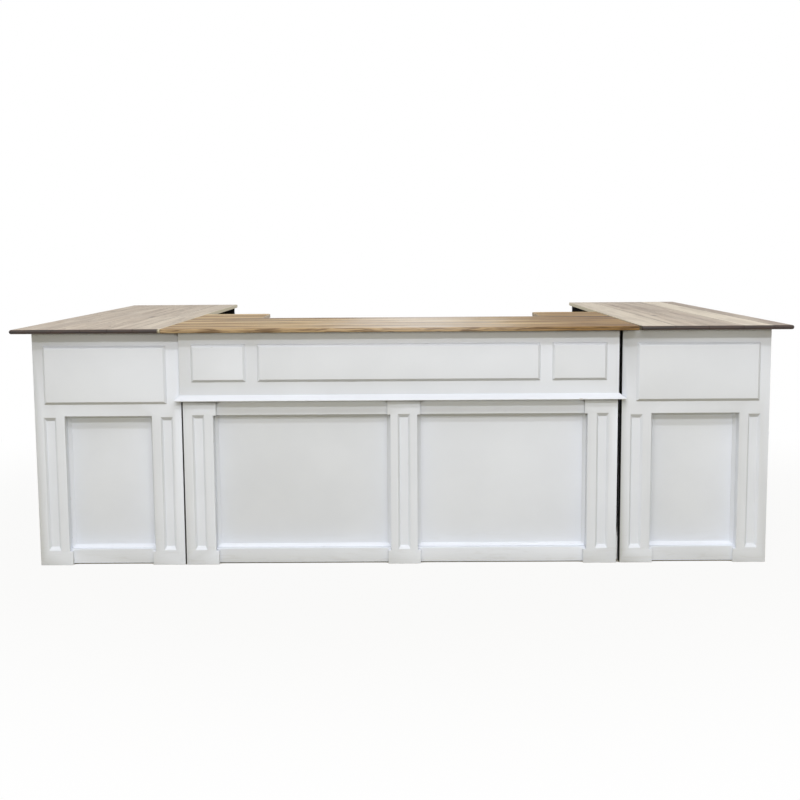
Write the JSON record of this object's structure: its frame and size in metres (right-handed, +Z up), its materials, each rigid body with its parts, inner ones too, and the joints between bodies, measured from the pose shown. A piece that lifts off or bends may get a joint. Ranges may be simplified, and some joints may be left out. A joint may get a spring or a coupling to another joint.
{
  "type": "bar counter with shelves",
  "caption": "U-shaped modular bar counter: panelled white front with pilasters, plank tops, and open shelves on the serving side.",
  "frame": {"origin": "on the floor, in the middle of the bar's outline", "axes": "+X along the front, to the right as a guest sees it; +Y away from the guests, towards the serving side; +Z up"},
  "size_m": [3.408, 2.438, 1.067],
  "materials": {
    "white_paint": "satin white paint on wood, with brush marks and rubbed edges",
    "black_paint": "flat black paint on plywood",
    "golden_wood": "golden brown pine planks, glossy varnish",
    "grey_wood": "greyed brown planks with dark rounded edges, satin varnish"
  },
  "bodies": {
    "centre_bar": {"centre_recess_sheet": "white_paint", "centre_header_board": "white_paint", "centre_frieze_board": "white_paint", "centre_ledge_moulding": "white_paint", "centre_header_rail": "white_paint", "centre_base_rail": "white_paint", "centre_frieze_panel_left": "white_paint", "centre_frieze_panel_middle": "white_paint", "centre_frieze_panel_right": "white_paint", "centre_pilaster_left": "white_paint", "centre_pilaster_middle": "white_paint", "centre_pilaster_right": "white_paint", "centre_panel_moulding_left": "white_paint", "centre_panel_moulding_right": "white_paint", "centre_deck": "black_paint", "centre_kick_board": "black_paint", "centre_divider": "black_paint", "centre_shelf": "black_paint", "centre_end_panel_left": "black_paint", "centre_end_panel_right": "black_paint", "corner_case_left_front": "black_paint", "corner_case_left_back": "black_paint", "corner_case_left_deck": "black_paint", "corner_case_left_shelf_1": "black_paint", "corner_case_left_shelf_2": "black_paint", "corner_board_left": "golden_wood", "corner_case_right_front": "black_paint", "corner_case_right_back": "black_paint", "corner_case_right_deck": "black_paint", "corner_case_right_shelf_1": "black_paint", "corner_case_right_shelf_2": "black_paint", "corner_board_right": "golden_wood", "centre_top": "golden_wood"},
    "left_wing": {"left_wing_front_frame": "white_paint", "left_wing_front_sheet": "white_paint", "left_wing_front_panel": "white_paint", "left_wing_side_frame": "white_paint", "left_wing_side_sheet": "white_paint", "left_wing_side_panel": "white_paint", "left_wing_back_end": "white_paint", "left_wing_deck": "black_paint", "left_wing_kick_board": "black_paint", "left_wing_divider_1": "black_paint", "left_wing_divider_2": "black_paint", "left_wing_shelf": "black_paint", "left_wing_top": "grey_wood"},
    "right_wing": {"right_wing_front_frame": "white_paint", "right_wing_front_sheet": "white_paint", "right_wing_front_panel": "white_paint", "right_wing_side_frame": "white_paint", "right_wing_side_sheet": "white_paint", "right_wing_side_panel": "white_paint", "right_wing_back_end": "white_paint", "right_wing_deck": "black_paint", "right_wing_kick_board": "black_paint", "right_wing_divider_1": "black_paint", "right_wing_divider_2": "black_paint", "right_wing_shelf": "black_paint", "right_wing_top": "grey_wood"}
  },
  "joints": [
    {"name": "left_wing_slide", "type": "slide", "parent": "centre_bar", "child": "left_wing", "axis": [-1, 0, 0], "range_m": [0, 0.6]},
    {"name": "right_wing_slide", "type": "slide", "parent": "centre_bar", "child": "right_wing", "axis": [1, 0, 0], "range_m": [0, 0.6]}
  ]
}
